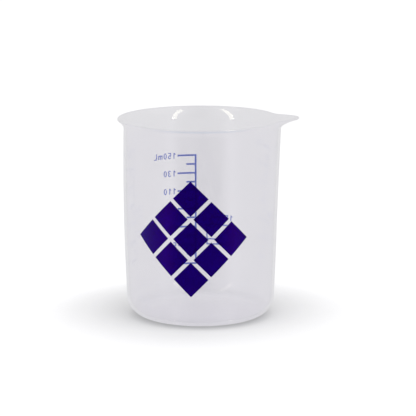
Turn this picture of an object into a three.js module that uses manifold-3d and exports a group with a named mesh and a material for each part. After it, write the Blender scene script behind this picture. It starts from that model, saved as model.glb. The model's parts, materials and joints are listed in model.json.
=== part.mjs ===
// A small translucent measuring cup of the beaker form, with a flared lip and a pouring spout.
// A blue volume scale is printed on the outside of its back, and a block of purple lozenges on its front.
// Millimetres, +Z up. The origin is the centre of the flat underside, and the spout points along +X.
import * as THREE from "three";
import { TessellateModifier } from "three/addons/modifiers/TessellateModifier.js";
import { mergeVertices } from "three/addons/utils/BufferGeometryUtils.js";
import Module from "manifold-3d";

const wasm = await Module();
wasm.setup();

// Moulded cup
const cupHeight = 79;
const rimRadius = 32.8;
const neckRadius = 30.3;
const baseRadius = 29.3;
const wallSwell = 0.6;
const wallThickness = 1.1;
const lipThickness = 0.8;
const baseThickness = 1.2;
const cornerRadius = 7.7;
const flareHeight = 4;
const flareBend = 1.6;

// Pouring spout: how far its tip stands out of the rim and over it, how wide it opens,
// how the lip dips beside it, and the hollow in the wall that leads up to it
const spoutReach = 6.2;
const spoutRise = 0.36;
const spoutHalfAngle = THREE.MathUtils.degToRad(23);
const spoutCurl = 2.6;
const shoulderDip = 1.3;
const shoulderHalfAngle = THREE.MathUtils.degToRad(60);
const throatDepth = 41;
const throatBulge = 1.5;
const throatEase = 1.7;
const throatHalfAngle = THREE.MathUtils.degToRad(38);

// Ink films
const inkThickness = 0.1;
const inkGap = 0.02;

// Volume scale on the back. Seen from outside its line is at the left, with ticks and numerals to the right.
const scaleAngle = THREE.MathUtils.degToRad(93.9);
const scaleFirstMl = 30;
const scaleLastMl = 150;
const tickEveryMl = 10;
const ticksPerNumeral = 2;
const longTick = 7.5;
const shortTick = 3.8;
const scaleLineWidth = 0.7;

// Numerals and unit letters
const digitHeight = 2.6;
const digitWidth = 1.4;
const smallLetterHeight = 1.9;
const wideLetterWidth = 2.1;
const strokeWidth = 0.38;
const letterSpace = 0.55;
const bowlShare = 0.56;
const openBowlDegrees = 150;
const numeralIndent = 0.8;

// Framed field beside the scale, with a divided-off corner and the capacity over it
const frameWidth = 11.9;
const frameHeight = 8.5;
const frameFoot = 21.6;
const frameToScale = 4.4;
const frameLineWidth = 0.5;
const cellWidth = 4.8;
const cellHeight = 2.6;
const captionRise = 1.5;
const captionIndent = 0.8;

// Block of lozenges on the front
const emblemAngle = THREE.MathUtils.degToRad(-97);
const emblemRows = 3;
const emblemWidth = 48;
const emblemFoot = 4.5;
const emblemNeckMargin = 15;
const emblemSeam = 1.5;

// Fineness of the facets. The cup's seams crowd towards the spout. Ink edges that go round the wall are
// short. Upright ones count at a reduced length, so they may be longer, because the wall is nearly straight.
const cupSegments = 96;
const spoutCrowding = 0.55;
const wallSteps = 5;
const flareSteps = 4;
const lipSteps = 4;
const cornerSteps = 5;
const bowlSteps = 6;
const strokeEndSteps = 2;
const longestInkEdge = 3.4;
const uprightEase = 0.4;
const inkSplits = 12;
const volumeSlices = 400;

const cubicMmPerMl = 1000;
const halfTurn = Math.PI;
const quarterTurn = Math.PI / 2;
const neckHeight = cupHeight - flareHeight;
const printRadius = wallRadius((cornerRadius + neckHeight) / 2);
const inkSag = longestInkEdge ** 2 / (8 * printRadius);

const plastic = new THREE.MeshStandardMaterial({
  color: 0xdcdce2,
  roughness: 0.25,
  metalness: 0,
  transparent: true,
  opacity: 0.5,
});
const blueInk = new THREE.MeshStandardMaterial({ color: 0x2f4aa0, roughness: 0.5, metalness: 0 });
const purpleInk = new THREE.MeshStandardMaterial({ color: 0x230161, roughness: 0.4, metalness: 0 });

const cup = new THREE.Group();

// A smooth hump that is 1 at no turn and falls to 0 at the half angle
function hump(angle, halfAngle) {
  const share = Math.min(Math.abs(angle) / halfAngle, 1);
  return (1 + Math.cos(halfTurn * share)) / 2;
}

// Outside radius of the round wall at a height, leaving the throat out
function wallRadius(height) {
  const rise = (height - cornerRadius) / (neckHeight - cornerRadius);
  return baseRadius + (neckRadius - baseRadius) * rise + wallSwell * 4 * rise * (1 - rise);
}

// How far the wall bulges into the throat that leads up to the spout
function throatPush(angle, height) {
  const rise = THREE.MathUtils.clamp((height - neckHeight + throatDepth) / throatDepth, 0, 1);
  return throatBulge * hump(angle, throatHalfAngle) * rise ** throatEase;
}

// How far the edge of the lip stands out of the round rim
function spoutPush(angle) {
  const lift = (spoutReach + shoulderDip) * hump(angle, spoutHalfAngle);
  return lift - shoulderDip * hump(angle, shoulderHalfAngle);
}

// The half section, from the middle of the underside, up the outside, over the lip and down to the floor.
// Each station has a radius, a height and its place along the flare: 0 below it and 1 at the lip.
function cupStations() {
  const innerCorner = cornerRadius - wallThickness;
  const innerTop = baseThickness + innerCorner;
  const innerCentre = wallRadius(innerTop) - wallThickness - innerCorner;
  const outerCentre = baseRadius - cornerRadius;
  const outside = [{ radius: 0, height: 0, flare: 0 }];
  const inside = [{ radius: 0, height: baseThickness, flare: 0 }];
  for (let step = 0; step <= cornerSteps; step++) {
    const across = Math.sin((quarterTurn * step) / cornerSteps);
    const down = Math.cos((quarterTurn * step) / cornerSteps);
    const outerHeight = cornerRadius - cornerRadius * down;
    const innerHeight = innerTop - innerCorner * down;
    outside.push({ radius: outerCentre + cornerRadius * across, height: outerHeight, flare: 0 });
    inside.push({ radius: innerCentre + innerCorner * across, height: innerHeight, flare: 0 });
  }
  for (let step = 1; step < wallSteps; step++) {
    const outerHeight = THREE.MathUtils.lerp(cornerRadius, neckHeight, step / wallSteps);
    const innerHeight = THREE.MathUtils.lerp(innerTop, neckHeight, step / wallSteps);
    outside.push({ radius: wallRadius(outerHeight), height: outerHeight, flare: 0 });
    inside.push({ radius: wallRadius(innerHeight) - wallThickness, height: innerHeight, flare: 0 });
  }
  const neckMiddle = neckRadius - wallThickness / 2;
  const lipRound = lipThickness / 2;
  const bend = new THREE.QuadraticBezierCurve(
    new THREE.Vector2(neckMiddle, neckHeight),
    new THREE.Vector2(neckMiddle, neckHeight + flareBend),
    new THREE.Vector2(rimRadius - lipRound, cupHeight - lipRound),
  );
  for (let step = 0; step <= flareSteps; step++) {
    const flare = step / flareSteps;
    const middle = bend.getPoint(flare);
    const thickness = THREE.MathUtils.lerp(wallThickness, lipThickness, flare);
    const along = bend.getTangent(flare).multiplyScalar(thickness / 2);
    outside.push({ radius: middle.x + along.y, height: middle.y - along.x, flare });
    inside.push({ radius: middle.x - along.y, height: middle.y + along.x, flare });
  }
  const lipMiddle = bend.getPoint(1);
  const lipAlong = bend.getTangent(1).multiplyScalar(lipRound);
  for (let step = 1; step < lipSteps; step++) {
    const out = Math.cos((halfTurn * step) / lipSteps);
    const ahead = Math.sin((halfTurn * step) / lipSteps);
    const radius = lipMiddle.x + out * lipAlong.y + ahead * lipAlong.x;
    const height = lipMiddle.y - out * lipAlong.x + ahead * lipAlong.y;
    outside.push({ radius, height, flare: 1 });
  }
  return [...outside, ...inside.reverse()];
}

// Keeps only the positions, makes shared corners one and drops triangles that have no area
function closed(geometry) {
  geometry.deleteAttribute("normal");
  geometry.deleteAttribute("uv");
  const merged = mergeVertices(geometry);
  const corners = merged.index.array;
  const kept = [];
  for (let at = 0; at < corners.length; at += 3) {
    const [first, second, third] = corners.slice(at, at + 3);
    if (first !== second && second !== third && third !== first) {
      kept.push(first, second, third);
    }
  }
  merged.setIndex(kept);
  merged.computeVertexNormals();
  return merged;
}

function addPiece(name, geometry, material) {
  const mesh = new THREE.Mesh(geometry, material);
  mesh.name = name;
  cup.add(mesh);
}

// The moulding: a lathe of the half section, drawn out into the spout, with its seams crowded towards it
function makeCupBody() {
  const stations = cupStations();
  const section = stations.map((station) => new THREE.Vector2(station.radius, station.height));
  const geometry = new THREE.LatheGeometry(section, cupSegments);
  const corners = geometry.attributes.position;
  for (let at = 0; at < corners.count; at++) {
    const station = stations[at % stations.length];
    const seam = Math.floor(at / stations.length) % cupSegments;
    const evenAngle = (2 * halfTurn * seam) / cupSegments - halfTurn;
    const angle = evenAngle - spoutCrowding * Math.sin(evenAngle);
    const throat = throatPush(angle, station.height);
    const drawnOut = station.flare ** spoutCurl;
    const radius = station.radius + throat + (spoutPush(angle) - throat) * drawnOut;
    const height = station.height + spoutRise * hump(angle, spoutHalfAngle) * drawnOut;
    corners.setXYZ(at, radius * Math.cos(angle), radius * Math.sin(angle), height);
  }
  addPiece("cup_body", closed(geometry), plastic);
}

// Height that a volume of liquid reaches in the round cup
function levelOf(millilitres) {
  const innerCorner = cornerRadius - wallThickness;
  const slice = (neckHeight - baseThickness) / volumeSlices;
  let poured = 0;
  for (let step = 0; step < volumeSlices; step++) {
    const height = baseThickness + (step + 0.5) * slice;
    const below = Math.max(baseThickness + innerCorner - height, 0);
    const rounding = innerCorner - Math.sqrt(innerCorner ** 2 - below ** 2);
    const radius = wallRadius(Math.max(height, cornerRadius)) - wallThickness - rounding;
    const added = (halfTurn * radius ** 2 * slice) / cubicMmPerMl;
    if (poured + added >= millilitres) {
      return height + slice * ((millilitres - poured) / added - 0.5);
    }
    poured += added;
  }
  return Infinity;
}

// Ink drawn flat as shapes, x to the right and y up, joined to one solid and bent round the wall's outside
function addInk(name, shapes, angle, material) {
  let solid = null;
  for (const shape of shapes) {
    const slab = closed(new THREE.ExtrudeGeometry(shape, { depth: inkThickness, bevelEnabled: false }));
    const vertProperties = slab.attributes.position.array;
    const triVerts = new Uint32Array(slab.index.array);
    const made = new wasm.Manifold(new wasm.Mesh({ numProp: 3, vertProperties, triVerts }));
    solid = solid ? solid.add(made) : made;
  }
  const joined = solid.getMesh();
  const flat = new THREE.BufferGeometry();
  flat.setAttribute("position", new THREE.BufferAttribute(joined.vertProperties, 3));
  flat.setIndex(new THREE.BufferAttribute(joined.triVerts, 1));
  flat.scale(1, uprightEase, 1);
  const film = new TessellateModifier(longestInkEdge, inkSplits).modify(flat);
  film.scale(1, 1 / uprightEase, 1);
  const corners = film.attributes.position;
  for (let at = 0; at < corners.count; at++) {
    const height = corners.getY(at);
    const turn = angle + corners.getX(at) / printRadius;
    const seat = wallRadius(height) + throatPush(turn, height) + inkSag + inkGap;
    const radius = seat + corners.getZ(at);
    corners.setXYZ(at, radius * Math.cos(turn), radius * Math.sin(turn), height);
  }
  addPiece(name, closed(film), material);
}

// One pen stroke with round ends along a row of points
function stroke(points) {
  const half = strokeWidth / 2;
  const last = points.length - 1;
  const rightSide = [];
  const leftSide = [];
  for (let at = 0; at <= last; at++) {
    const before = points[Math.max(at - 1, 0)];
    const after = points[Math.min(at + 1, last)];
    const heading = Math.atan2(after.y - before.y, after.x - before.x);
    const sideways = new THREE.Vector2(Math.sin(heading), -Math.cos(heading)).multiplyScalar(half);
    rightSide.push(points[at].clone().add(sideways));
    leftSide.unshift(points[at].clone().sub(sideways));
    for (let step = 1; step < strokeEndSteps && (at === 0 || at === last); step++) {
      const turn = heading - quarterTurn + (halfTurn * step) / strokeEndSteps;
      const round = new THREE.Vector2(Math.cos(turn), Math.sin(turn)).multiplyScalar(half);
      if (at === 0) {
        leftSide.push(points[at].clone().sub(round));
      } else {
        rightSide.push(points[at].clone().add(round));
      }
    }
  }
  return new THREE.Shape([...rightSide, ...leftSide]);
}

function line(startX, startY, endX, endY) {
  return stroke([new THREE.Vector2(startX, startY), new THREE.Vector2(endX, endY)]);
}

// An arc of an ellipse, drawn clockwise between two angles in degrees
function bowl(middleX, middleY, radiusX, radiusY, fromDegrees, toDegrees) {
  const from = THREE.MathUtils.degToRad(fromDegrees);
  const to = THREE.MathUtils.degToRad(toDegrees);
  const arc = new THREE.EllipseCurve(middleX, middleY, radiusX, radiusY, from, to, true);
  return stroke(arc.getPoints(bowlSteps));
}

// A whole ellipse as a ring
function ring(middleX, middleY, radiusX, radiusY) {
  const half = strokeWidth / 2;
  const outer = new THREE.EllipseCurve(middleX, middleY, radiusX + half, radiusY + half);
  const inner = new THREE.EllipseCurve(middleX, middleY, radiusX - half, radiusY - half);
  const shape = new THREE.Shape(outer.getPoints(2 * bowlSteps).slice(1));
  shape.holes.push(new THREE.Path(inner.getPoints(2 * bowlSteps).slice(1)));
  return shape;
}

// A curved stroke between two points, drawn towards a third
function hook(startX, startY, towardsX, towardsY, endX, endY) {
  const start = new THREE.Vector2(startX, startY);
  const towards = new THREE.Vector2(towardsX, towardsY);
  const curve = new THREE.QuadraticBezierCurve(start, towards, new THREE.Vector2(endX, endY));
  return stroke(curve.getPoints(bowlSteps));
}

// Shapes of a digit or of a unit's letter, m or L, whose lower left corner is at a place
function characterShapes(character, left, foot) {
  const half = strokeWidth / 2;
  const west = left + half;
  const east = left + digitWidth - half;
  const middle = (west + east) / 2;
  const south = foot + half;
  const north = foot + digitHeight - half;
  const reach = (east - west) / 2;
  const tall = (north - south) / 2;
  const bar = south + tall * bowlShare;
  const bigBowl = tall * bowlShare;
  const halfBowl = tall / 2;
  switch (character) {
    case "0":
      return [ring(middle, south + tall, reach, tall)];
    case "1":
      return [line(middle, south, middle, north), line(middle, north, west, north - halfBowl)];
    case "2":
      return [
        bowl(middle, north - halfBowl, reach, halfBowl, 180, 0),
        line(east, north - halfBowl, west, south),
        line(west, south, east, south),
      ];
    case "3":
      return [
        bowl(middle, north - halfBowl, reach, halfBowl, openBowlDegrees, -90),
        bowl(middle, south + halfBowl, reach, halfBowl, 90, -openBowlDegrees),
      ];
    case "4":
      return [
        line(east - reach / 2, north, west, bar),
        line(west, bar, east, bar),
        line(east - reach / 2, north, east - reach / 2, south),
      ];
    case "5":
      return [
        line(west, north, east, north),
        line(west, north, west, south + tall),
        bowl(middle, south + bigBowl, reach, bigBowl, openBowlDegrees, -openBowlDegrees),
      ];
    case "6":
      return [
        ring(middle, south + bigBowl, reach, bigBowl),
        hook(west, south + bigBowl, west, north, east, north),
      ];
    case "7":
      return [line(west, north, east, north), line(east, north, middle, south)];
    case "8":
      return [
        ring(middle, north - halfBowl, reach, halfBowl),
        ring(middle, south + halfBowl, reach, halfBowl),
      ];
    case "9":
      return [
        ring(middle, north - bigBowl, reach, bigBowl),
        hook(east, north - bigBowl, east, south, west, south),
      ];
    case "m":
      return smallM(left, foot);
    default:
      return [line(west, north, west, south), line(west, south, east, south)];
  }
}

function smallM(left, foot) {
  const half = strokeWidth / 2;
  const archWidth = (wideLetterWidth - strokeWidth) / 2;
  const archFoot = foot + smallLetterHeight - half - archWidth / 2;
  const shapes = [line(left + half, foot + half, left + half, foot + smallLetterHeight - half)];
  for (let arch = 0; arch < 2; arch++) {
    const start = left + half + arch * archWidth;
    shapes.push(bowl(start + archWidth / 2, archFoot, archWidth / 2, archWidth / 2, 180, 0));
    shapes.push(line(start + archWidth, archFoot, start + archWidth, foot + half));
  }
  return shapes;
}

// A volume with its unit or without it, one node to a character
function addVolumeText(name, millilitres, withUnit, left, foot) {
  const digits = String(Math.round(millilitres)).split("");
  const places = ["ones", "tens", "hundreds", "thousands"];
  let edge = left;
  digits.forEach((digit, at) => {
    const place = places[digits.length - 1 - at];
    addInk(`${name}_${place}`, characterShapes(digit, edge, foot), scaleAngle, blueInk);
    edge += digitWidth + letterSpace;
  });
  if (withUnit) {
    addInk(`${name}_unit_m`, characterShapes("m", edge, foot), scaleAngle, blueInk);
    edge += wideLetterWidth + letterSpace;
    addInk(`${name}_unit_l`, characterShapes("L", edge, foot), scaleAngle, blueInk);
  }
}

// The marks that fit on the wall below the flare, lowest first
function scaleMarks() {
  const marks = [];
  let tick = 0;
  for (let volume = scaleLastMl; volume >= scaleFirstMl; volume -= tickEveryMl) {
    const height = levelOf(volume);
    if (height + digitHeight / 2 < neckHeight) {
      marks.unshift({ volume, height, isLong: tick % ticksPerNumeral === 0 });
    }
    tick += 1;
  }
  return marks;
}

// The scale's line with its ticks as one comb, and a numeral at each long tick
function makeScale() {
  const half = scaleLineWidth / 2;
  const marks = scaleMarks();
  const lowest = marks[0];
  const highest = marks[marks.length - 1];
  const comb = new THREE.Shape();
  comb.moveTo(-half, highest.height + half);
  comb.lineTo(-half, lowest.height - half);
  for (const mark of marks) {
    const tip = mark.isLong ? longTick : shortTick;
    if (mark !== lowest) {
      comb.lineTo(half, mark.height - half);
    }
    comb.lineTo(tip, mark.height - half);
    comb.lineTo(tip, mark.height + half);
    if (mark !== highest) {
      comb.lineTo(half, mark.height + half);
    }
  }
  addInk("scale_ladder", [comb], scaleAngle, blueInk);
  const numbered = marks.filter((mark) => mark.isLong);
  const topNumbered = numbered[numbered.length - 1];
  for (const mark of numbered) {
    const foot = mark.height - digitHeight / 2;
    addVolumeText(`mark_${mark.volume}`, mark.volume, mark === topNumbered, longTick + numeralIndent, foot);
  }
}

// A filled rectangle between two opposite corners
function rectangle(left, foot, right, top) {
  const shape = new THREE.Shape();
  shape.moveTo(left, foot);
  shape.lineTo(right, foot);
  shape.lineTo(right, top);
  shape.lineTo(left, top);
  return shape;
}

// The framed field and the capacity printed over it
function makeFrame() {
  const right = -frameToScale;
  const left = right - frameWidth;
  const top = frameFoot + frameHeight;
  const cellLeft = right - cellWidth;
  const cellTop = frameFoot + cellHeight;
  const lines = [
    rectangle(left, frameFoot, right, frameFoot + frameLineWidth),
    rectangle(left, top - frameLineWidth, right, top),
    rectangle(left, frameFoot, left + frameLineWidth, top),
    rectangle(right - frameLineWidth, frameFoot, right, top),
    rectangle(cellLeft, frameFoot, cellLeft + frameLineWidth, cellTop),
    rectangle(cellLeft, cellTop - frameLineWidth, right, cellTop),
  ];
  addInk("field_frame", lines, scaleAngle, blueInk);
  addVolumeText("capacity", scaleLastMl, true, left + captionIndent, top + captionRise);
}

// A lattice of lozenges that together make one large lozenge
function makeEmblem() {
  const foot = cornerRadius + emblemFoot;
  const top = neckHeight - emblemNeckMargin;
  const halfWide = emblemWidth / 2 / emblemRows;
  const halfTall = (top - foot) / 2 / emblemRows;
  const middleToEdge = (halfWide * halfTall) / Math.hypot(halfWide, halfTall);
  const shrink = 1 - emblemSeam / 2 / middleToEdge;
  for (let row = 0; row < emblemRows; row++) {
    for (let column = 0; column < emblemRows; column++) {
      const middleX = (column - row) * halfWide;
      const middleY = foot + (column + row + 1) * halfTall;
      const lozenge = new THREE.Shape();
      lozenge.moveTo(middleX - halfWide * shrink, middleY);
      lozenge.lineTo(middleX, middleY - halfTall * shrink);
      lozenge.lineTo(middleX + halfWide * shrink, middleY);
      lozenge.lineTo(middleX, middleY + halfTall * shrink);
      addInk(`emblem_lozenge_${row + 1}_${column + 1}`, [lozenge], emblemAngle, purpleInk);
    }
  }
}

makeCupBody();
makeScale();
makeFrame();
makeEmblem();

export default cup;
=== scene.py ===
import json
import math

import bmesh
import bpy
from mathutils import Euler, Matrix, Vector


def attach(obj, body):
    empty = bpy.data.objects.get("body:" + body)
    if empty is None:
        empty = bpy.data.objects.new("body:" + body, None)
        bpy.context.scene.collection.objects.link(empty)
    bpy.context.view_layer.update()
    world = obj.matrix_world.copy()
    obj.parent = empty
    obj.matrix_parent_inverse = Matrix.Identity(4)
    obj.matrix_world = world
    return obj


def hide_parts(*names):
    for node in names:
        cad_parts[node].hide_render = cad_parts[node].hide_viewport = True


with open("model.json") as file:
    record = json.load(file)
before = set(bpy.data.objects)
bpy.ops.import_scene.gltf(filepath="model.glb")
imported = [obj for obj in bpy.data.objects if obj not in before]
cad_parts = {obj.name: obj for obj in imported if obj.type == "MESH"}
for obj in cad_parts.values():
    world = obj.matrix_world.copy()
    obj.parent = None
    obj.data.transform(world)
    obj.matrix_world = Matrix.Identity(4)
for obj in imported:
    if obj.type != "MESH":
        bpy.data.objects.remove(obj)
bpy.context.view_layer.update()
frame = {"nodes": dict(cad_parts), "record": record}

# Moulded cup
CUP_HEIGHT = 0.079
RIM_RADIUS = 0.0328
NECK_RADIUS = 0.0303
BASE_RADIUS = 0.0293
WALL_SWELL = 0.0006
WALL_THICKNESS = 0.0011
LIP_THICKNESS = 0.0008
BASE_THICKNESS = 0.0012
CORNER_RADIUS = 0.0077
FLARE_HEIGHT = 0.004
FLARE_BEND = 0.0016
INSIDE_FLARE_HEIGHT = 0.0056
INSIDE_FLARE_BEND = 0.0031
NECK_HEIGHT = CUP_HEIGHT - FLARE_HEIGHT

# Pouring spout and the hollow in the wall that leads up to it
SPOUT_REACH = 0.0062
SPOUT_RISE = 0.00036
SPOUT_HALF_ANGLE = math.radians(23)
SPOUT_CURL = 2.6
SHOULDER_DIP = 0.0013
SHOULDER_HALF_ANGLE = math.radians(60)
THROAT_DEPTH = 0.041
THROAT_BULGE = 0.0015
THROAT_EASE = 1.7
THROAT_HALF_ANGLE = math.radians(38)

# Block of lozenges on the front
EMBLEM_ANGLE = math.radians(-97)
EMBLEM_ROWS = 3
EMBLEM_WIDTH = 0.048
EMBLEM_FOOT = 0.0045
EMBLEM_NECK_MARGIN = 0.015
EMBLEM_SEAM = 0.0015
FILM_GAP = 0.00003
FILM_THICKNESS = 0.00008

# Fineness of the meshes. The cup's seams crowd towards the spout.
CUP_SEGMENTS = 256
SPOUT_CROWDING = 0.55
CORNER_STEPS = 14
WALL_STEPS = 44
FLARE_STEPS = 16
LIP_STEPS = 10
FLOOR_STEPS = 6
LOZENGE_STEPS = 20
SHARP_ANGLE = math.radians(40)

# Plastic and its gloss coat. Noise is in waves per metre.
PLASTIC_IOR = 1.001
PLASTIC_TRANSMISSION = 0.97
PLASTIC_TONES = ((0.976, 0.969, 0.99), (0.984, 0.977, 0.998))
PLASTIC_TONE_WAVES = 45
PLASTIC_ROUGHNESS = (0.03, 0.06)
PLASTIC_ROUGHNESS_WAVES = 160
COAT_WEIGHT = 0.9
COAT_IOR = 1.5
COAT_ROUGHNESS = 0.04
COAT_RELIEF = 0.00006
COAT_RELIEF_WAVES = 70

# Painted shade on two bends of the moulding: a dimmer band round the bottom corner, and a dark bluish
# # line on the front edge of the lip, painted in the colour of the prints as if refracted there
CORNER_PAINTED_SHADE = (0.945, 0.945, 0.945)
CORNER_PAINTED_SHADE_HEIGHT = 0.0024
CORNER_PAINTED_SHADE_SPREAD = 0.0014
LIP_PAINTED_SHADE = (0.81, 0.87, 0.945)
LIP_PAINTED_SHADE_HEIGHT = 0.0781
LIP_PAINTED_SHADE_SPREAD = 0.0003
LIP_PAINTED_SHADE_FRONT = (-0.024, -0.0325)

# Printing inks
PURPLE_IOR = 1.5
PURPLE_SHEEN = (0.36, 0, 1, 1)
PURPLE_TRANSMISSION = 1
PURPLE_TONES = ((0.0042, 0.0003, 0.153), (0.0055, 0.0003, 0.168))
PURPLE_TONE_WAVES = 260
PURPLE_ROUGHNESS = (0.06, 0.1)
BLUE_IOR = 1.02
BLUE_TRANSMISSION = 0.9
BLUE_TONES = ((0.035, 0.085, 0.52), (0.05, 0.11, 0.58))
BLUE_TONE_WAVES = 700
BLUE_ROUGHNESS = (0.4, 0.55)
INK_ROUGHNESS_WAVES = 900

# Noise: its levels of detail, and the values between which a finish goes from its first end to its second
SOFT_DETAIL = 2
FINE_DETAIL = 3
TONE_SPAN = (0.35, 0.65)
ROUGHNESS_SPAN = (0.3, 0.7)

# Camera, at the photograph's viewing angle
CAMERA_LENS = 196.08
CAMERA_SENSOR = 36
CAMERA_DISTANCE = 0.8997
CAMERA_DOWN = math.radians(11.088)
CAMERA_AIM_HEIGHT = 0.04271
CAMERA_RIGHT = 0.00298

# Light, as radiance where 1 is white
SKY_LIGHT = 0.7
SUN_LIGHT = 0.14
SUN_ANGLE = math.radians(70)
SUN_PLACE = (0.1, -0.05, 1)

# Two upright strips in front for the highlights, each with a small bright foot
STRIP_LIGHT = 5
STRIP_SIZE = (0.12, 1.35)
STRIP_RISE = math.radians(35)
STRIP_FOOT_LIGHT = 110
STRIP_FOOT_SIZE = (0.06, 0.05)
STRIP_FOOT_RISE = math.radians(12)
STRIP_COLOUR = (1, 0.97, 0.78)
LEFT_STRIP_TURN = math.radians(-53)
RIGHT_STRIP_TURN = math.radians(44.5)
STRIP_LEAN = math.radians(6.5)
STRIP_DISTANCE = 1.0
STRIP_THROUGH_PLASTIC = 0.3

# Studio that shows in the gloss and through the plastic, with a dark gap overhead and in front
BACKGROUND_BEHIND_PLASTIC = 0.75
GAP_DEPTH = 0.65
GAP_SPREAD = 0.3
GAP_END = (0.15, -0.15)

# Pale floor
FLOOR_SIZE = 12
FLOOR_DROP = 0.0002
FLOOR_COLOUR = (0.86, 0.86, 0.87)
FLOOR_ROUGHNESS = 0.9
FLOOR_LIFT = 0.335
FLOOR_LIFT_BEHIND_PLASTIC = 0.04

# Floor in the gloss, from a little way off the cup: a dark sector in front, and the strips' light trails
GLOSS_START = (0.05, 0.09)
FLOOR_GAP = 0.52
FLOOR_GAP_EDGE = (math.radians(49), math.radians(27))
TRAIL_LIGHT = 0.2
TRAIL_TURN = math.radians(46)
TRAIL_SPREAD = math.radians(9)

# Light under the cup, which shows through the plastic
UNDER_LIGHT = 0.05
UNDER_EDGE = (0.042, 0.026)

# Contact shadow
CONTACT_FACING = (0.09, -0.4, 1)
CONTACT_REACH = 0.036
CONTACT_SAMPLES = 32
CONTACT_DEPTH = 0.645
CONTACT_FALL = 0.79

# A ray's depth counts its bounces, and half a bounce tells none from one
HALF_BOUNCE = 0.5


# Shapes

def lerp(start, end, share):
    return start + (end - start) * share


def hump(angle, half_angle):
    """A smooth hump that is 1 at no turn and falls to 0 at the half angle."""
    share = min(abs(angle) / half_angle, 1)
    return (1 + math.cos(math.pi * share)) / 2


def wall_radius(height):
    """Outside radius of the round wall at a height, leaving the throat out."""
    rise = (height - CORNER_RADIUS) / (NECK_HEIGHT - CORNER_RADIUS)
    return lerp(BASE_RADIUS, NECK_RADIUS, rise) + WALL_SWELL * 4 * rise * (1 - rise)


def throat_push(angle, height):
    """How far the wall bulges into the throat that leads up to the spout."""
    rise = (height - NECK_HEIGHT + THROAT_DEPTH) / THROAT_DEPTH
    return THROAT_BULGE * hump(angle, THROAT_HALF_ANGLE) * min(max(rise, 0), 1) ** THROAT_EASE


def spout_push(angle):
    """How far the edge of the lip stands out of the round rim."""
    lift = (SPOUT_REACH + SHOULDER_DIP) * hump(angle, SPOUT_HALF_ANGLE)
    return lift - SHOULDER_DIP * hump(angle, SHOULDER_HALF_ANGLE)


def bent_line(start, bend, end, share):
    """A place on a curve from its start towards a bend and on to its end, and the direction there."""
    first = start.lerp(bend, share)
    second = bend.lerp(end, share)
    return first.lerp(second, share), (second - first).normalized()


def flare_line(share):
    """Middle of the flare's wall and the unit direction along it, from the neck to the lip."""
    start = Vector((NECK_RADIUS - WALL_THICKNESS / 2, NECK_HEIGHT))
    bend = start + Vector((0, FLARE_BEND))
    end = Vector((RIM_RADIUS - LIP_THICKNESS / 2, CUP_HEIGHT - LIP_THICKNESS / 2))
    return bent_line(start, bend, end, share)


def inside_flare_line(share):
    """Inside of the flare, which leaves the wall a little lower and thins it towards the lip."""
    low = CUP_HEIGHT - INSIDE_FLARE_HEIGHT
    start = Vector((wall_radius(low) - WALL_THICKNESS, low))
    bend = start + Vector((0, INSIDE_FLARE_BEND))
    lip, along = flare_line(1)
    end = lip + Vector((-along.y, along.x)) * LIP_THICKNESS / 2
    return bent_line(start, bend, end, share)[0]


def half_section():
    """Radius, height and share of the flare, from the underside up the outside and down to the floor."""
    inner_corner = CORNER_RADIUS - WALL_THICKNESS
    inner_top = BASE_THICKNESS + inner_corner
    inner_centre = wall_radius(inner_top) - WALL_THICKNESS - inner_corner
    outer_centre = BASE_RADIUS - CORNER_RADIUS
    outside = []
    inside = []
    for step in range(1, FLOOR_STEPS):
        share = step / FLOOR_STEPS
        outside.append((outer_centre * share, 0, 0))
        inside.append((inner_centre * share, BASE_THICKNESS, 0))
    for step in range(CORNER_STEPS + 1):
        turn = math.pi / 2 * step / CORNER_STEPS
        across = math.sin(turn)
        rise = 1 - math.cos(turn)
        outside.append((outer_centre + CORNER_RADIUS * across, CORNER_RADIUS * rise, 0))
        inside.append((inner_centre + inner_corner * across, BASE_THICKNESS + inner_corner * rise, 0))
    for step in range(1, WALL_STEPS):
        outer_height = lerp(CORNER_RADIUS, NECK_HEIGHT, step / WALL_STEPS)
        inner_height = lerp(inner_top, CUP_HEIGHT - INSIDE_FLARE_HEIGHT, step / WALL_STEPS)
        outside.append((wall_radius(outer_height), outer_height, 0))
        inside.append((wall_radius(inner_height) - WALL_THICKNESS, inner_height, 0))
    for step in range(FLARE_STEPS + 1):
        share = step / FLARE_STEPS
        middle, along = flare_line(share)
        half = lerp(WALL_THICKNESS, LIP_THICKNESS, share) / 2
        outside.append((middle.x + half * along.y, middle.y - half * along.x, share))
        inner = inside_flare_line(share)
        inside.append((inner.x, inner.y, share))
    middle, along = flare_line(1)
    half = LIP_THICKNESS / 2
    for step in range(1, LIP_STEPS):
        turn = math.pi * step / LIP_STEPS
        across = half * math.cos(turn)
        ahead = half * math.sin(turn)
        radius = middle.x + across * along.y + ahead * along.x
        outside.append((radius, middle.y - across * along.x + ahead * along.y, 1))
    return outside + inside[::-1]


def add_piece(name, shape, material, node):
    """A smooth mesh that stands for a node of the frame, with the finish it is given."""
    mesh = bpy.data.meshes.new(name)
    bmesh.ops.recalc_face_normals(shape, faces=shape.faces)
    shape.to_mesh(mesh)
    shape.free()
    mesh.shade_smooth()
    mesh.set_sharp_from_angle(angle=SHARP_ANGLE)
    mesh.materials.append(material)
    piece = bpy.data.objects.new(name, mesh)
    bpy.context.scene.collection.objects.link(piece)
    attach(piece, "root")
    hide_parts(node)


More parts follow.
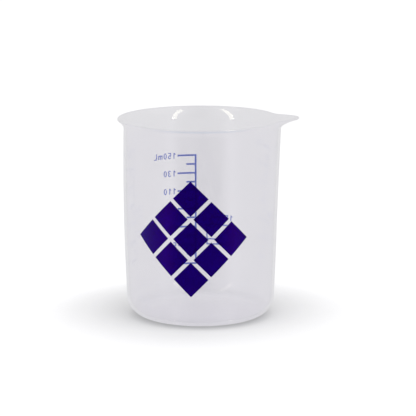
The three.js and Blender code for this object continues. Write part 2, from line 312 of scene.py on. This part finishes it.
def make_cup(material):
    """The moulding, turned from its half section and drawn out into the spout."""
    shape = bmesh.new()
    underside = shape.verts.new((0, 0, 0))
    floor = shape.verts.new((0, 0, BASE_THICKNESS))
    rings = []
    for radius, height, flare in half_section():
        ring = []
        for seam in range(CUP_SEGMENTS):
            even = 2 * math.pi * seam / CUP_SEGMENTS
            angle = even - SPOUT_CROWDING * math.sin(even)
            turn = math.remainder(angle, 2 * math.pi)
            throat = throat_push(turn, height)
            drawn_out = flare ** SPOUT_CURL
            reach = radius + throat + (spout_push(turn) - throat) * drawn_out
            rise = SPOUT_RISE * hump(turn, SPOUT_HALF_ANGLE) * drawn_out
            place = (reach * math.cos(turn), reach * math.sin(turn), height + rise)
            ring.append(shape.verts.new(place))
        rings.append(ring)
    for seam in range(CUP_SEGMENTS):
        after = (seam + 1) % CUP_SEGMENTS
        shape.faces.new((underside, rings[0][after], rings[0][seam]))
        shape.faces.new((floor, rings[-1][seam], rings[-1][after]))
        for lower, upper in zip(rings, rings[1:]):
            shape.faces.new((lower[seam], lower[after], upper[after], upper[seam]))
    add_piece("cup_shell", shape, material, "cup_body")


def film_point(across, height, lift):
    """A place on the wall's outside, at a distance across from the middle of the block of lozenges."""
    print_radius = wall_radius((CORNER_RADIUS + NECK_HEIGHT) / 2)
    turn = EMBLEM_ANGLE + across / print_radius
    radius = wall_radius(height) + throat_push(turn, height) + lift
    return radius * math.cos(turn), radius * math.sin(turn), height


def join_lines(shape, near, far):
    """A row of faces between two lines of a lozenge."""
    for step in range(LOZENGE_STEPS):
        shape.faces.new((near[step], near[step + 1], far[step + 1], far[step]))


def make_lozenge(row, column, material):
    """One lozenge of ink, a thin film that follows the wall."""
    foot = CORNER_RADIUS + EMBLEM_FOOT
    top = NECK_HEIGHT - EMBLEM_NECK_MARGIN
    half_wide = EMBLEM_WIDTH / 2 / EMBLEM_ROWS
    half_tall = (top - foot) / 2 / EMBLEM_ROWS
    middle_to_edge = half_wide * half_tall / math.hypot(half_wide, half_tall)
    shrink = 1 - EMBLEM_SEAM / 2 / middle_to_edge
    middle_across = (column - row) * half_wide
    middle_height = foot + (column + row + 1) * half_tall
    shape = bmesh.new()
    sheets = []
    for lift in (FILM_GAP, FILM_GAP + FILM_THICKNESS):
        sheet = []
        for first in range(LOZENGE_STEPS + 1):
            line = []
            for second in range(LOZENGE_STEPS + 1):
                rising = 2 * first / LOZENGE_STEPS - 1
                falling = 2 * second / LOZENGE_STEPS - 1
                across = middle_across + half_wide * shrink * (rising + falling) / 2
                height = middle_height + half_tall * shrink * (rising - falling) / 2
                line.append(shape.verts.new(film_point(across, height, lift)))
            sheet.append(line)
        sheets.append(sheet)
    for sheet in sheets:
        for near, far in zip(sheet, sheet[1:]):
            join_lines(shape, near, far)
    inner, outer = sheets
    for side in (0, LOZENGE_STEPS):
        join_lines(shape, inner[side], outer[side])
        join_lines(shape, [line[side] for line in inner], [line[side] for line in outer])
    node = f"emblem_lozenge_{row + 1}_{column + 1}"
    add_piece(f"lozenge_film_{row + 1}_{column + 1}", shape, material, node)


# Shader nodes

def new_material(name):
    """An empty material with a Principled shader, and its node tree."""
    material = bpy.data.materials.new(name)
    material.use_nodes = True
    tree = material.node_tree
    tree.nodes.clear()
    output = tree.nodes.new("ShaderNodeOutputMaterial")
    shader = tree.nodes.new("ShaderNodeBsdfPrincipled")
    tree.links.new(shader.outputs["BSDF"], output.inputs["Surface"])
    return material, tree, shader


def add_math(tree, operation, *values):
    """A Math node on sockets and numbers, and its result."""
    node = tree.nodes.new("ShaderNodeMath")
    node.operation = operation
    for socket, value in zip(node.inputs, values):
        if isinstance(value, (int, float)):
            socket.default_value = value
        else:
            tree.links.new(value, socket)
    return node.outputs[0]


def add_bell(tree, value, middle, spread):
    """A smooth rise to 1 where a value is at the middle, and a fall to 0 on both sides."""
    offset = add_math(tree, "DIVIDE", add_math(tree, "SUBTRACT", value, middle), spread)
    square = add_math(tree, "MULTIPLY", offset, offset)
    return add_math(tree, "EXPONENT", add_math(tree, "MULTIPLY", square, -1))


def add_fade(tree, value, start, end, low=0, high=1):
    """A straight change from low where a value is at the start to high where it is at the end."""
    fade = tree.nodes.new("ShaderNodeMapRange")
    fade.inputs["From Min"].default_value = start
    fade.inputs["From Max"].default_value = end
    fade.inputs["To Min"].default_value = low
    fade.inputs["To Max"].default_value = high
    tree.links.new(value, fade.inputs["Value"])
    return fade.outputs["Result"]


def add_place(tree, kind):
    """A texture coordinate, split into its X, Y and Z."""
    place = tree.nodes.new("ShaderNodeTexCoord")
    split = tree.nodes.new("ShaderNodeSeparateXYZ")
    tree.links.new(place.outputs[kind], split.inputs["Vector"])
    return split


def add_noise(tree, waves_per_metre, detail):
    """Noise in the object's own coordinates."""
    place = tree.nodes.new("ShaderNodeTexCoord")
    noise = tree.nodes.new("ShaderNodeTexNoise")
    noise.inputs["Scale"].default_value = waves_per_metre
    noise.inputs["Detail"].default_value = detail
    tree.links.new(place.outputs["Object"], noise.inputs["Vector"])
    return noise.outputs["Fac"]


def add_tones(tree, amount, tones):
    """A colour that drifts between two tones."""
    ramp = tree.nodes.new("ShaderNodeValToRGB")
    for element, position, tone in zip(ramp.color_ramp.elements, TONE_SPAN, tones):
        element.position = position
        element.color = (*tone, 1)
    tree.links.new(amount, ramp.inputs["Fac"])
    return ramp.outputs["Color"]


def add_tint(tree, colour, amount, tint):
    """A colour multiplied by a tint, by an amount from 0 to 1."""
    node = tree.nodes.new("ShaderNodeMixRGB")
    node.blend_type = "MULTIPLY"
    node.inputs["Color2"].default_value = (*tint, 1)
    tree.links.new(amount, node.inputs["Fac"])
    tree.links.new(colour, node.inputs["Color1"])
    return node.outputs["Color"]


def add_scaled(tree, colour, scale):
    """A fixed colour times a scale that varies."""
    node = tree.nodes.new("ShaderNodeVectorMath")
    node.operation = "SCALE"
    node.inputs[0].default_value = colour
    tree.links.new(scale, node.inputs["Scale"])
    return node.outputs["Vector"]


def vary_roughness(tree, shader, amount, limits):
    """Roughness that drifts between two limits."""
    roughness = add_fade(tree, amount, *ROUGHNESS_SPAN, *limits)
    tree.links.new(roughness, shader.inputs["Roughness"])


def add_coat_relief(tree, shader, amount, depth):
    """Relief of a depth in metres in the gloss coat."""
    bump = tree.nodes.new("ShaderNodeBump")
    bump.inputs["Strength"].default_value = 1
    bump.inputs["Distance"].default_value = depth
    tree.links.new(amount, bump.inputs["Height"])
    tree.links.new(bump.outputs["Normal"], shader.inputs["Coat Normal"])


# Materials

def plastic_material():
    """Milky clear polypropylene with the slow waves and faint clouds of a moulding, and painted shade
    round its bottom corner and along the front of its lip.
    """
    material, tree, shader = new_material("translucent_polypropylene")
    shader.inputs["IOR"].default_value = PLASTIC_IOR
    shader.inputs["Transmission Weight"].default_value = PLASTIC_TRANSMISSION
    shader.inputs["Coat Weight"].default_value = COAT_WEIGHT
    shader.inputs["Coat IOR"].default_value = COAT_IOR
    shader.inputs["Coat Roughness"].default_value = COAT_ROUGHNESS
    place = add_place(tree, "Object")
    # Painted shade: a dim band round the bottom corner
    corner_shade = add_bell(tree, place.outputs["Z"], CORNER_PAINTED_SHADE_HEIGHT, CORNER_PAINTED_SHADE_SPREAD)
    # Painted shade: a dark bluish line on the front edge of the lip, painted in the colour of the prints
    lip = add_bell(tree, place.outputs["Z"], LIP_PAINTED_SHADE_HEIGHT, LIP_PAINTED_SHADE_SPREAD)
    front_lip_shade = add_math(tree, "MULTIPLY", lip, add_fade(tree, place.outputs["Y"], *LIP_PAINTED_SHADE_FRONT))
    clouds = add_tones(tree, add_noise(tree, PLASTIC_TONE_WAVES, SOFT_DETAIL), PLASTIC_TONES)
    colour = add_tint(tree, add_tint(tree, clouds, corner_shade, CORNER_PAINTED_SHADE), front_lip_shade, LIP_PAINTED_SHADE)
    tree.links.new(colour, shader.inputs["Base Color"])
    vary_roughness(tree, shader, add_noise(tree, PLASTIC_ROUGHNESS_WAVES, FINE_DETAIL), PLASTIC_ROUGHNESS)
    add_coat_relief(tree, shader, add_noise(tree, COAT_RELIEF_WAVES, FINE_DETAIL), COAT_RELIEF)
    return material


def purple_material():
    """Dense glossy purple printing ink, which still lets a little light through."""
    material, tree, shader = new_material("purple_printing_ink")
    shader.inputs["IOR"].default_value = PURPLE_IOR
    shader.inputs["Specular Tint"].default_value = PURPLE_SHEEN
    shader.inputs["Transmission Weight"].default_value = PURPLE_TRANSMISSION
    colour = add_tones(tree, add_noise(tree, PURPLE_TONE_WAVES, FINE_DETAIL), PURPLE_TONES)
    tree.links.new(colour, shader.inputs["Base Color"])
    vary_roughness(tree, shader, add_noise(tree, INK_ROUGHNESS_WAVES, SOFT_DETAIL), PURPLE_ROUGHNESS)
    return material


def blue_material():
    """Thin blue printing ink."""
    material, tree, shader = new_material("blue_printing_ink")
    shader.inputs["IOR"].default_value = BLUE_IOR
    shader.inputs["Transmission Weight"].default_value = BLUE_TRANSMISSION
    colour = add_tones(tree, add_noise(tree, BLUE_TONE_WAVES, FINE_DETAIL), BLUE_TONES)
    tree.links.new(colour, shader.inputs["Base Color"])
    vary_roughness(tree, shader, add_noise(tree, INK_ROUGHNESS_WAVES, SOFT_DETAIL), BLUE_ROUGHNESS)
    return material


# Stage

def add_before_matt(tree, path):
    """1 until the ray has met a matt surface."""
    return add_math(tree, "LESS_THAN", path.outputs["Diffuse Depth"], HALF_BOUNCE)


def add_seen_by_eye(tree, path):
    """1 for what the camera sees straight, mirrored or through plastic, and 0 for gathered light."""
    mirrored = add_math(tree, "MAXIMUM", path.outputs["Is Camera Ray"], path.outputs["Is Glossy Ray"])
    seen = add_math(tree, "MAXIMUM", mirrored, path.outputs["Is Transmission Ray"])
    return add_math(tree, "MULTIPLY", seen, add_before_matt(tree, path))


def make_world():
    """A pale background, and a softer even light from it."""
    world = bpy.data.worlds.new("studio")
    world.use_nodes = True
    tree = world.node_tree
    tree.nodes.clear()
    output = tree.nodes.new("ShaderNodeOutputWorld")
    background = tree.nodes.new("ShaderNodeBackground")
    path = tree.nodes.new("ShaderNodeLightPath")
    way = add_place(tree, "Generated")
    between = add_bell(tree, way.outputs["X"], 0, GAP_SPREAD)
    gap = add_math(tree, "MULTIPLY", between, add_fade(tree, way.outputs["Y"], *GAP_END))
    lift = add_math(tree, "MULTIPLY_ADD", gap, -GAP_DEPTH, BACKGROUND_BEHIND_PLASTIC - SKY_LIGHT)
    seen = add_math(tree, "MULTIPLY", add_seen_by_eye(tree, path), lift)
    white = add_math(tree, "MULTIPLY", path.outputs["Is Camera Ray"], 1 - BACKGROUND_BEHIND_PLASTIC)
    strength = add_math(tree, "ADD", add_math(tree, "ADD", seen, SKY_LIGHT), white)
    background.inputs["Color"].default_value = (1, 1, 1, 1)
    tree.links.new(strength, background.inputs["Strength"])
    tree.links.new(background.outputs["Background"], output.inputs["Surface"])
    bpy.context.scene.world = world


def add_away(tree, place):
    """Distance from the cup's axis."""
    across = add_math(tree, "MULTIPLY", place.outputs["X"], place.outputs["X"])
    along = add_math(tree, "MULTIPLY", place.outputs["Y"], place.outputs["Y"])
    return add_math(tree, "SQRT", add_math(tree, "ADD", across, along))


def add_turn(tree, place):
    """Turn about the cup's axis, to either side of the front."""
    front = add_math(tree, "MULTIPLY", place.outputs["Y"], -1)
    return add_math(tree, "ABSOLUTE", add_math(tree, "ARCTAN2", place.outputs["X"], front))


def add_underlight(tree, path):
    """Light that comes through the clear cup onto the floor, and only shows through the plastic."""
    near = add_fade(tree, add_away(tree, add_place(tree, "Object")), *UNDER_EDGE)
    before_matt = add_before_matt(tree, path)
    through = add_math(tree, "MULTIPLY", path.outputs["Is Transmission Ray"], before_matt)
    return add_math(tree, "MULTIPLY", add_math(tree, "MULTIPLY", near, through), UNDER_LIGHT)


def add_floor_gap(tree, path):
    """The share of the floor's light that is missing in the gloss, in front between the strips."""
    place = add_place(tree, "Object")
    between = add_fade(tree, add_turn(tree, place), *FLOOR_GAP_EDGE)
    started = add_fade(tree, add_away(tree, place), *GLOSS_START)
    dark = add_math(tree, "MULTIPLY", add_math(tree, "MULTIPLY", between, started), FLOOR_GAP)
    glossy = add_math(tree, "GREATER_THAN", path.outputs["Glossy Depth"], HALF_BOUNCE)
    mirrored = add_math(tree, "MULTIPLY", glossy, add_before_matt(tree, path))
    return add_math(tree, "MULTIPLY", dark, mirrored)


def add_trail(tree, path):
    """The light trails of the two strips on the floor, which only show in the gloss."""
    place = add_place(tree, "Object")
    trail = add_bell(tree, add_turn(tree, place), TRAIL_TURN, TRAIL_SPREAD)
    started = add_fade(tree, add_away(tree, place), *GLOSS_START)
    bright = add_math(tree, "MULTIPLY", add_math(tree, "MULTIPLY", trail, started), TRAIL_LIGHT)
    mirrored = add_math(tree, "MULTIPLY", path.outputs["Is Glossy Ray"], add_before_matt(tree, path))
    return add_math(tree, "MULTIPLY", bright, mirrored)


def add_contact(tree):
    """How much of the sky, tilted to one side, the cup hides from the floor close to it."""
    nearby = tree.nodes.new("ShaderNodeAmbientOcclusion")
    nearby.samples = CONTACT_SAMPLES
    nearby.inputs["Distance"].default_value = CONTACT_REACH
    facing = tree.nodes.new("ShaderNodeCombineXYZ")
    for socket, value in zip(facing.inputs, Vector(CONTACT_FACING).normalized()):
        socket.default_value = value
    tree.links.new(facing.outputs["Vector"], nearby.inputs["Normal"])
    hidden = add_math(tree, "SUBTRACT", 1, nearby.outputs["AO"])
    return add_math(tree, "POWER", hidden, CONTACT_FALL)


def floor_material():
    """Pale and matt, white to the camera, with the cup's soft contact shadow."""
    material, tree, shader = new_material("pale_floor")
    shader.inputs["Roughness"].default_value = FLOOR_ROUGHNESS
    shader.inputs["Specular IOR Level"].default_value = 0
    shader.inputs["Emission Color"].default_value = (1, 1, 1, 1)
    path = tree.nodes.new("ShaderNodeLightPath")
    camera = path.outputs["Is Camera Ray"]
    depth = add_math(tree, "MULTIPLY", camera, -CONTACT_DEPTH)
    lit = add_math(tree, "SUBTRACT", 1, add_floor_gap(tree, path))
    shade = add_math(tree, "MULTIPLY_ADD", add_contact(tree), depth, lit)
    extra = FLOOR_LIFT - FLOOR_LIFT_BEHIND_PLASTIC
    lift = add_math(tree, "MULTIPLY_ADD", camera, extra, FLOOR_LIFT_BEHIND_PLASTIC)
    seen_lift = add_math(tree, "MULTIPLY", lift, add_seen_by_eye(tree, path))
    hidden_light = add_math(tree, "ADD", add_trail(tree, path), add_underlight(tree, path))
    glow = add_math(tree, "MULTIPLY_ADD", seen_lift, shade, hidden_light)
    tree.links.new(glow, shader.inputs["Emission Strength"])
    tree.links.new(add_scaled(tree, FLOOR_COLOUR, shade), shader.inputs["Base Color"])
    return material


def make_floor():
    """A wide square just under the cup."""
    half = FLOOR_SIZE / 2
    corners = []
    for across, along in ((-half, -half), (half, -half), (half, half), (-half, half)):
        corners.append((across, along, -FLOOR_DROP))
    mesh = bpy.data.meshes.new("floor")
    mesh.from_pydata(corners, [], [(0, 1, 2, 3)])
    mesh.materials.append(floor_material())
    floor = bpy.data.objects.new("floor", mesh)
    bpy.context.scene.collection.objects.link(floor)


def add_light(name, kind, place):
    """A lamp that faces the cup and that the camera doesn't see."""
    light = bpy.data.lights.new(name, kind)
    lamp = bpy.data.objects.new(name, light)
    bpy.context.scene.collection.objects.link(lamp)
    lamp.location = place
    towards = Vector((0, 0, CUP_HEIGHT / 2)) - Vector(place)
    lamp.rotation_euler = towards.to_track_quat("-Z", "Y").to_euler()
    lamp.visible_camera = False
    return lamp


def make_strip(name, turn, rise, size, strength):
    """An upright lit face that only shows in the gloss, and faintly through the plastic."""
    level = STRIP_DISTANCE * math.cos(rise)
    across = level * math.sin(turn)
    back = -level * math.cos(turn)
    up = CUP_HEIGHT + STRIP_DISTANCE * math.sin(rise)
    lamp = add_light(name, "AREA", (across, back, up))
    lamp.rotation_euler.rotate_axis("Z", -math.copysign(STRIP_LEAN, turn))
    lamp.visible_diffuse = False
    light = lamp.data
    light.shape = "RECTANGLE"
    light.size, light.size_y = size
    light.color = STRIP_COLOUR
    light.energy = strength * math.pi * light.size * light.size_y
    light.use_nodes = True
    tree = light.node_tree
    path = tree.nodes.new("ShaderNodeLightPath")
    veiled = add_math(tree, "GREATER_THAN", path.outputs["Transmission Depth"], HALF_BOUNCE)
    through = add_math(tree, "MULTIPLY_ADD", veiled, STRIP_THROUGH_PLASTIC - 1, 1)
    shown = add_math(tree, "MULTIPLY", through, add_before_matt(tree, path))
    tree.links.new(shown, tree.nodes["Emission"].inputs["Strength"])


def make_lights():
    """Two upright strips at the front for the highlights, and a broad light overhead."""
    for side, turn in (("left", LEFT_STRIP_TURN), ("right", RIGHT_STRIP_TURN)):
        make_strip(f"{side}_strip", turn, STRIP_RISE, STRIP_SIZE, STRIP_LIGHT)
        make_strip(f"{side}_strip_foot", turn, STRIP_FOOT_RISE, STRIP_FOOT_SIZE, STRIP_FOOT_LIGHT)
    sun = add_light("overhead", "SUN", SUN_PLACE)
    sun.data.energy = SUN_LIGHT * math.pi
    sun.data.angle = SUN_ANGLE
    sun.visible_glossy = False


def make_camera():
    """A camera in front that looks a little down on the cup."""
    data = bpy.data.cameras.new("camera")
    data.lens = CAMERA_LENS
    data.sensor_width = CAMERA_SENSOR
    camera = bpy.data.objects.new("camera", data)
    bpy.context.scene.collection.objects.link(camera)
    back = -CAMERA_DISTANCE * math.cos(CAMERA_DOWN)
    up = CAMERA_AIM_HEIGHT + CAMERA_DISTANCE * math.sin(CAMERA_DOWN)
    camera.location = (CAMERA_RIGHT, back, up)
    camera.rotation_euler = Euler((math.pi / 2 - CAMERA_DOWN, 0, 0))
    bpy.context.scene.camera = camera


def dress_scale(material):
    """The blue marks keep their shape and take the ink's finish."""
    for subpart in frame["record"]["subparts"]:
        if subpart["material_slot"] == "blue_ink":
            node = frame["nodes"][subpart["node"]]
            node.material_slots[0].material = material


make_camera()
make_world()
make_floor()
make_lights()
make_cup(plastic_material())
dress_scale(blue_material())
purple = purple_material()
for row in range(EMBLEM_ROWS):
    for column in range(EMBLEM_ROWS):
        make_lozenge(row, column, purple)

bpy.context.scene.view_settings.view_transform = "Standard"
bpy.context.scene.cycles.blur_glossy = 0
